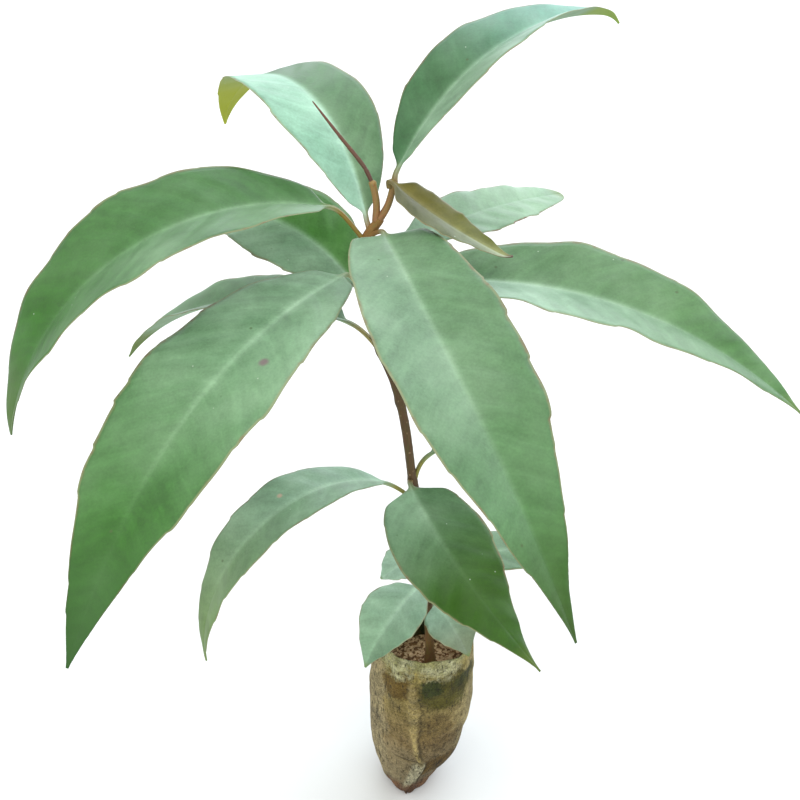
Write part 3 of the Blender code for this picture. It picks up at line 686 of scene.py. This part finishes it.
def bagPoint(height, angle, inset):
    # The level section at each height: an ellipse whose front and back draw to a corner, less the inset,
    # then moved along its own outward direction by the sag, the creases and the seam ridges
    b = bagShape
    across, depth, corner, shift = smoothRows(b["sections"], height)
    c, s = np.cos(angle), np.sin(angle)
    x = (across - inset) * np.sign(c) * np.abs(c) ** corner + shift
    y = (depth - inset) * s
    point = np.stack(np.broadcast_arrays(x, y, height), -1)
    outward = np.stack(np.broadcast_arrays(c, s, 0.0), -1)
    rise = height / b["height"]
    front, thin = s < 0, np.clip(1.2 - inset, 0, 1)
    # the right side is squeezed in below the middle and near the foot, whose front corner leans left
    squeeze = b["squeezed"] * np.exp(-((height - 36) / 15) ** 2) * np.clip(np.cos(angle + 0.3), 0, 1) ** 2
    atFoot = np.exp(-((height - 11) / 9) ** 2) * np.clip(np.cos(angle + 0.5), 0, 1)
    squeeze = squeeze + b["footSqueezed"] * atFoot
    point[..., 0] -= b["cornerLean"] * np.clip(-s, 0, 1) ** 3 * (1 - step(height, 6, 26))
    # filled cloth: soft dents as long as they are high, folds that hang from the rim, pleats at the foot
    dents = b["sag"] * ripple(point * (1, 1, 0.7), 26.0, 3) + 0.35 * ripple(point, 9.0, 4)
    hung = b["fold"] * np.sin(9 * angle + 1.3 * np.sin(3 * angle) + 2.5 * rise)
    hung = hung * np.clip(rise * 1.6 - 0.6, 0, 1)
    foot = 0.9 * b["fold"] * np.sin(14 * angle + 6 * rise) * np.clip(1 - rise * 3.2, 0, 1)
    # creases: valleys a millimetre broad, where two slow unevennesses cross zero
    lines = np.exp(-(ripple(point * (1, 1, 1.6), 30.0, 8) / 0.10) ** 2)
    lines = lines + np.exp(-(ripple(point, 21.0, 9) / 0.10) ** 2)
    shown = step(ripple(point, 34.0, 10), -0.2, 0.5) * (0.35 + 0.65 * np.clip(1.3 - 2 * rise, 0, 1))
    slant = np.exp(-((height - 29.0 + 0.3 * (x + 6)) / 0.7) ** 2) * step(x, -15, -11)
    slant = slant * (1 - step(x, -2, 1)) * front
    creases = b["crease"] * (lines * shown + 1.3 * slant)
    # the front seam is a knobbly roll of cloth that kinks low down; the back seam is straight
    line = smoothRows(b["seam"], height)[0]
    width = smoothRows(b["seamWidth"], height)[0]
    width = width * (1 + 0.25 * np.sin(height * 0.9) * np.sin(height * 0.37 + 1))
    knobs = 1 + 0.3 * np.sin(height * 1.35 + 2 * np.sin(height * 0.4))
    ridge = b["seamRise"] * knobs * np.exp(-np.abs((x - line) / width) ** 3) * front * step(height, 24, 29)
    ridge = ridge * (1 - 0.6 * step(height, 75, 81))
    ridge = ridge + b["seamRise"] * np.exp(-np.abs((x - shift) / 1.7) ** 3) * ~front
    # under the kink the roll opens into a flap that lies over to the left, with a sharp edge on its right
    over = step(x, line - 6.0, line - 1.0) * (1 - step(x, line + 1.6, line + 2.5))
    flap = b["flap"] * over * step(height, 3, 9) * (1 - step(height, 25.5, 28)) * front
    return point + outward * (dents + hung + foot - creases - squeeze + (ridge + flap) * thin)[..., None]


def clothMarks(rings):
    # What lies where on the cloth, each from 0 to 1: the seam's roll, the painted shadow beside it, along the
    # flap's right edge and in the slanting crease, and the flap. Bell curves and smooth steps over the
    # distance to each line.
    b = bagShape
    x, y, z = np.moveaxis(rings, -1, 0)
    line, width = smoothRows(b["seam"], z)[0], smoothRows(b["seamWidth"], z)[0]
    width = width * (1 + 0.3 * np.sin(z * 0.9) * np.sin(z * 0.37 + 1))
    front, rolled = step(-y, 3, 8), step(z, 25, 30) * (1 - step(z, 76, 81))
    seam = np.exp(-np.abs((x - line) / width) ** 4) * rolled
    # the second mark is painted shadow: a dark line beside the roll on its right, along the flap's right edge
    # and in the slanting crease
    beside = 0.75 * np.exp(-((x - line - 1.5 * width - 0.3) / 0.7) ** 2) * rolled
    low = step(z, 6, 12) * (1 - step(z, 26, 28.5))
    edge = np.exp(-((x - line - 2.6) / 0.5) ** 2) * low
    slant = 0.9 * np.exp(-((z - 29 + 0.3 * (x + 6)) / 0.45) ** 2) * step(x, -17, -12) * (1 - step(x, -1, 1))
    flap = step(x, line - 5.5, line - 3.5) * (1 - step(x, line + 1.6, line + 2.2)) * low
    return np.stack([seam, np.maximum(np.maximum(beside, edge), slant), flap], -1) * front[..., None]


def patch(tree, spot, centre, radii, most=1.0):
    # The most inside an oval seen from the front, fading out past its rim: the distance from the centre
    # in radii
    away = put(tree, "VectorMath", {0: spot, 1: (centre[0] * mm, 0, centre[1] * mm)}, operation="SUBTRACT")
    counted = put(tree, "VectorMath", {0: away.outputs[0], 1: (1 / radii[0] / mm, 0, 1 / radii[1] / mm)},
                  operation="MULTIPLY")
    length = put(tree, "VectorMath", {0: counted.outputs[0]}, operation="LENGTH")
    return ease(tree, length.outputs["Value"], 0.7, 1.2, most, 0.0, "SMOOTHSTEP")


def clothMaterial():
    # Spunbond polypropylene cloth: pressed filaments with a grid of bond dots, limp and dull; algae have
    # grown on it, mossy at the rim and dark green below it, partly stain and partly painted shadow, and
    # splashed soil has dried on it
    c = bagCloth
    material, tree, shader = newMaterial("spunbondCloth", Roughness=0.95, IOR=1.45, Specular_IOR_Level=0.15,
                                         Sheen_Weight=0.04)
    plain = put(tree, "TexCoord").outputs["Object"]
    place = mark(tree, "clothPlace")
    seam, shadowLines, flap = put(tree, "SeparateXYZ", {0: mark(tree, "clothMarks")}).outputs
    # unevenness 2.4 mm and 0.7 mm across; all patches are pushed about by up to 6 mm, in fine steps too
    blotch = noise(tree, plain, 420.0, 6.0, 0.78)
    fine = noise(tree, plain, 1300.0, 3.0, 0.7)
    stray = put(tree, "TexNoise", {"Vector": plain, "Scale": 95.0, "Detail": 7.0, "Roughness": 0.72}).outputs
    centred = put(tree, "VectorMath", {0: stray["Color"], 1: (0.5, 0.5, 0.5)}, operation="SUBTRACT")
    pushed = put(tree, "VectorMath", {0: centred.outputs[0], "Scale": 0.019}, operation="SCALE")
    spot = put(tree, "VectorMath", {0: plain, 1: pushed.outputs[0]}, operation="ADD").outputs[0]
    across, _, height = put(tree, "SeparateXYZ", {0: spot}).outputs
    stops = [(0.02, c["foot"]), (1.0, c["rimward"]), (0.14, c["low"]), (0.45, c["body"])]
    shade = put(tree, "ValToRGB", {0: ease(tree, height, 0.0, 0.09)}, stops=stops).outputs[0]
    # the two sides are paler and greyer, past a rather sharp line down the cloth
    left = ease(tree, across, -0.0195, -0.016, 0.85, 0.0)
    right = ease(tree, across, 0.015, 0.021, 0.0, 0.75)
    shade = layOver(tree, layOver(tree, shade, left, c["strip"]), right, c["edge"])
    for centre, radii, most, name in bagPatches:
        shade = layOver(tree, shade, patch(tree, spot, centre, radii, most), c[name])
    # pale fluff on the moss, thick in two places
    clump = ease(tree, noise(tree, plain, 240.0, 6.0, 0.72), 0.38, 0.6)
    mossy = figure(tree, "MAXIMUM", patch(tree, spot, (-11, 87), (6.5, 7)),
                   patch(tree, spot, (9, 86), (11, 6)))
    lowFront = patch(tree, spot, (-7, 2), (13, 8.5), 0.85)
    for share, name in ((times(tree, clump, mossy), "pale"), (times(tree, flap, 0.75), "flap"),
                        (lowFront, "foot"), (times(tree, seam, 0.9), "seam")):
        shade = layOver(tree, shade, share, c[name])
    # dark dots on some squares of a 3 mm net, more of them in the moss
    cells = put(tree, "Mapping", {"Vector": plain, "Rotation": (0, 0.5, 0), "Scale": (1.3, 0.6, 0.55)})
    net = put(tree, "TexVoronoi", {"Vector": cells.outputs[0], "Scale": 420.0}).outputs
    chance = grow(tree, mossy, 0.3, put(tree, "SeparateColor", {0: net["Color"]}).outputs[0])
    dot = ease(tree, net["Distance"], 0.12, 0.32, 0.8, 0.0)
    shade = layOver(tree, shade, times(tree, dot, figure(tree, "GREATER_THAN", chance, 0.78)), c["dash"])
    # short strokes of soil that lean one way and the other, most on the left side and low on the right
    marked = figure(tree, "MAXIMUM", left, patch(tree, spot, (9, 22), (13, 8)))
    for lean, seldom in ((-0.35, 0.66), (0.6, 0.68)):
        leaning = put(tree, "Mapping", {"Vector": plain, "Rotation": (0, lean, 0), "Scale": (850, 850, 170)})
        stroke = grow(tree, marked, 0.08, noise(tree, leaning.outputs[0], 1.0))
        shade = layOver(tree, shade, ease(tree, stroke, seldom, seldom + 0.07, 0.0, 0.8), c["dash"])
    # painted shadow along the seam's roll, the flap's edge and the crease, in the dark colour of the soil
    # dashes
    shade = layOver(tree, shade, times(tree, shadowLines, 0.8), c["dash"])
    # bond dots 1.5 mm apart round and up the cloth, and filaments under 0.3 mm
    grid = put(tree, "Mapping", {"Vector": place, "Scale": (0.67, 0.67, 0)}).outputs[0]
    dots = put(tree, "TexVoronoi", {"Vector": grid, "Scale": 1.0, "Randomness": 0.15}).outputs["Distance"]
    pressed = ease(tree, dots, 0.1, 0.35)
    fibre = noise(tree, place, 3.2, 4.0, Distortion=1.5)
    value = grow(tree, pressed, 0.06, grow(tree, blotch, 1.1, fine))
    value = ease(tree, figure(tree, "ADD", stray["Fac"], value), 1.27, 1.91, 0.2, 1.8)
    last = put(tree, "HueSaturation", {"Color": shade, "Value": value}).outputs[0]
    # the moss has a thicker pile than the cloth
    raised = grow(tree, blotch, grow(tree, mossy, 3.0, 1.0), fibre)
    dress(tree, shader, last, grow(tree, pressed, 0.5, raised), 0.8, 0.0006)
    return material


def makeBag():
    # Rings run from the middle of the underside up the outside, over the rim, and down the inside
    b = bagShape
    angle = (np.arange(b["around"]) * 2 * np.pi / b["around"])[None, :]
    up, down = np.linspace(0, 1, b["rows"])[:, None], np.linspace(1, 0, b["innerRows"])[:, None]
    outer = bagPoint(up * b["height"] + 0 * angle, angle + 0 * up, 0.0)
    inner = bagPoint(down * (b["height"] - 1.0) + 1.0 + 0 * angle, angle + 0 * down, b["wall"])
    lip = 0.5 * (outer[-1] + inner[0]) + (0, 0, 0.25)
    # the rim isn't cut level: it stands higher at the front, and waves a little
    turn = angle[0]
    dip = 0.9 * np.sin(2 * turn + 0.6) + 0.5 * np.sin(5 * turn + 2.0) + 0.2 * np.sin(17 * turn)
    dip = dip + b["frontRise"] * np.exp(-((turn - 1.53 * np.pi) / 0.7) ** 2)
    for wall in (outer, inner):
        near = np.clip((wall[..., 2] - 66.0) / 24.0, 0, 1) ** 2
        wall[..., 2] += near * (dip - 0.8)
    lip[:, 2] += dip - 0.8
    middle = outer[0].mean(0)
    under = [middle + (outer[0] - middle) * k for k in (0.02, 0.3, 0.6, 0.85, 0.96)]
    inMiddle = inner[-1].mean(0)
    inside = [inMiddle + (inner[-1] - inMiddle) * k for k in (0.9, 0.5, 0.02)]
    rings = np.concatenate([np.array(under), outer, lip[None], inner, np.array(inside)])
    rings[..., 2] = np.maximum(rings[..., 2], 0.0)
    girth = 24.5
    around = np.stack(np.broadcast_arrays(angle * girth, rings[..., 2], 0.0), -1)
    skin("clothBag", rings, clothMaterial(), ["bag"],
         {"clothPlace": around, "clothMarks": clothMarks(rings)})


# Potting mix: a crumbly mound with chips of bark and husk on it

soilShape = dict(top=72.0, inset=1.55, mound=1.7, crumb=0.55, rows=70, around=200,
                 crumbs=450, chips=560, dark="#452d1c", warm="#8f6a48", pale="#e0c19c")


def soilHeight(x, y):
    # The mound: highest round the stem, broken by unevenness at two sizes
    s = soilShape
    flat = np.stack(np.broadcast_arrays(x, y, 0.0), -1)
    away = np.hypot(x, y) / 23.0
    return (s["top"] - 2.0 + s["mound"] * np.clip(1 - away ** 1.6, 0, 1)
            + s["crumb"] * (ripple(flat, 7.0, 5) + 0.6 * ripple(flat, 2.6, 6)))


def soilMaterial(name, low, high, rough):
    # Damp potting mix: crumbs of peat and bark, no gloss
    material, tree, shader = newMaterial(name, Roughness=rough, IOR=1.4)
    clump = noise(tree, put(tree, "TexCoord").outputs["Object"], 320.0, 6.0, 0.7)
    mixed = put(tree, "ValToRGB", {0: clump}, stops=[(0.3, low), (0.68, high)])
    dress(tree, shader, mixed.outputs[0], clump, 0.9, 0.0008)
    return material


def strewn(name, count, sizes, seed, look, stones):
    # Many small bits in one mesh: one lumpy lozenge, stretched, turned and laid on the mound for each bit
    rng = np.random.default_rng(seed)
    ring = np.arange(6) * np.pi / 3
    belt = np.stack([np.cos(ring), np.sin(ring), 0.25 * np.sin(3 * ring)], -1)
    shape = np.concatenate([[(0, 0, -0.6)], belt, [(0.1, 0, 0.7)]])
    lows = [(0, 1 + (i + 1) % 6, 1 + i) for i in range(6)]
    highs = [(7, 1 + i, 1 + (i + 1) % 6) for i in range(6)]
    faces = np.array(lows + highs)
    spread = np.sqrt(rng.uniform(0, 1, count)) * 21.0
    where = rng.uniform(0, 2 * np.pi, count)
    x, y = spread * np.cos(where), spread * np.sin(where)
    scale = np.stack([rng.uniform(*size, count) for size in sizes], -1)
    bits = shape[None] * scale[:, None] * (1 + 0.25 * rng.normal(size=(count, 8, 1)).clip(-1, 1))
    turn, tilt = rng.uniform(0, 2 * np.pi, count), rng.normal(0, stones, count)
    c, s, ct, st = np.cos(turn), np.sin(turn), np.cos(tilt), np.sin(tilt)
    zero, one = np.zeros(count), np.ones(count)
    spin = np.stack([c, -s, zero, s, c, zero, zero, zero, one], -1).reshape(-1, 3, 3)
    lean = np.stack([ct, zero, st, zero, one, zero, -st, zero, ct], -1).reshape(-1, 3, 3)
    placed = np.einsum("nij,njk,npk->npi", spin, lean, bits)
    placed += np.stack([x + 0.6, y, soilHeight(x + 0.6, y) + scale[:, 2] * 0.35], -1)[:, None]
    mesh = bpy.data.meshes.new(name)
    tris = (faces[None] + np.arange(count)[:, None, None] * 8).reshape(-1, 3)
    mesh.from_pydata((placed.reshape(-1, 3) * mm).tolist(), [], tris.tolist())
    addPiece(name, mesh, look)


def makeSoil():
    # A plug that fills the bag, closed by rings that shrink to the middle over the mound, with bits strewn
    s = soilShape
    angle = (np.arange(s["around"]) * 2 * np.pi / s["around"])[None, :]
    heights = np.linspace(2.0, s["top"] - 3.0, 30)[:, None]
    wall = bagPoint(heights + 0 * angle, angle + 0 * heights, s["inset"] + 0.6)
    brim = wall[-1]
    middle = brim.mean(0)
    shares = np.linspace(1, 0.01, s["rows"])[:, None, None]
    cap = middle + (brim - middle) * shares
    cap[..., 2] = soilHeight(cap[..., 0], cap[..., 1])
    rings = np.concatenate([wall, cap])
    ground = soilMaterial("pottingMix", s["dark"], s["warm"], 0.95)
    skin("soilMound", rings, ground, ["soil"])
    strewn("soilCrumbs", s["crumbs"], ((0.4, 1.3), (0.4, 1.1), (0.3, 0.9)), 21, ground, 0.5)
    strewn("barkChips", s["chips"], ((0.8, 1.7), (0.6, 1.2), (0.4, 0.8)), 22,
           soilMaterial("barkChip", s["warm"], s["pale"], 0.85), 0.25)


makeStem()
makeTwigs()
makeBud()
print("stem, twigs and bud are made")
makeLeaves()
print(len(leaves), "leaves are made")
makeBag()
makeSoil()
print("bag and potting mix are made")
